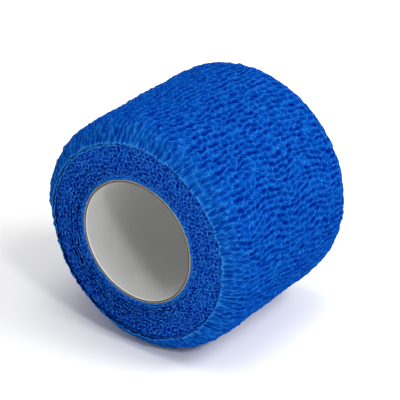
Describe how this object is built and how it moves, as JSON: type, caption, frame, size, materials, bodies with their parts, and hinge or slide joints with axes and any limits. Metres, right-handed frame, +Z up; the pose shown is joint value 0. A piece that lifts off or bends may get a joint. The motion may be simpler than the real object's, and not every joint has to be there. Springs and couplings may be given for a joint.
{
  "type": "hand wrap",
  "caption": "Roll of self-adhering crinkled elastic bandage wound on a thin paper core, resting on its rim, with a free end that peels away.",
  "frame": {"origin": "on the core's axis, at half the roll's width", "axes": "+Y along the core's bore, +Z up away from the surface the roll rests on, +X across the roll; the free end lies on the -X side"},
  "size_m": [0.0614, 0.05, 0.0612],
  "materials": {
    "white_paper": "matte",
    "kraft_board": "matte",
    "cream_paper": "matte",
    "crepe_face": "matte",
    "crepe_shade": "matte",
    "elastic_yarn": "matte"
  },
  "bodies": {
    "roll": {"core_liner": "white_paper", "core_board": "kraft_board", "core_wrap": "cream_paper", "wound_turns": "crepe_shade", "last_turn_face_ply": "crepe_face", "last_turn_elastic_yarns": "elastic_yarn", "last_turn_back_ply": "crepe_shade"},
    "tail_root": {"tail_root_face_ply": "crepe_face", "tail_root_elastic_yarns": "elastic_yarn", "tail_root_back_ply": "crepe_shade"},
    "tail_mid": {"tail_mid_face_ply": "crepe_face", "tail_mid_elastic_yarns": "elastic_yarn", "tail_mid_back_ply": "crepe_shade"},
    "tail_tip": {"tail_tip_face_ply": "crepe_face", "tail_tip_elastic_yarns": "elastic_yarn", "tail_tip_back_ply": "crepe_shade"}
  },
  "joints": [
    {"name": "tail_peel", "type": "hinge", "parent": "roll", "child": "tail_root", "pos_m": [-0.01345, 0, 0.02757], "axis": [0, 1, 0], "range_deg": [0, 50]},
    {"name": "tail_mid_bend", "type": "hinge", "parent": "tail_root", "child": "tail_mid", "pos_m": [-0.02227, 0, 0.02109], "axis": [0, 1, 0], "range_deg": [0, 40]},
    {"name": "tail_tip_bend", "type": "hinge", "parent": "tail_mid", "child": "tail_tip", "pos_m": [-0.02825, 0, 0.01193], "axis": [0, 1, 0], "range_deg": [0, 30]}
  ]
}
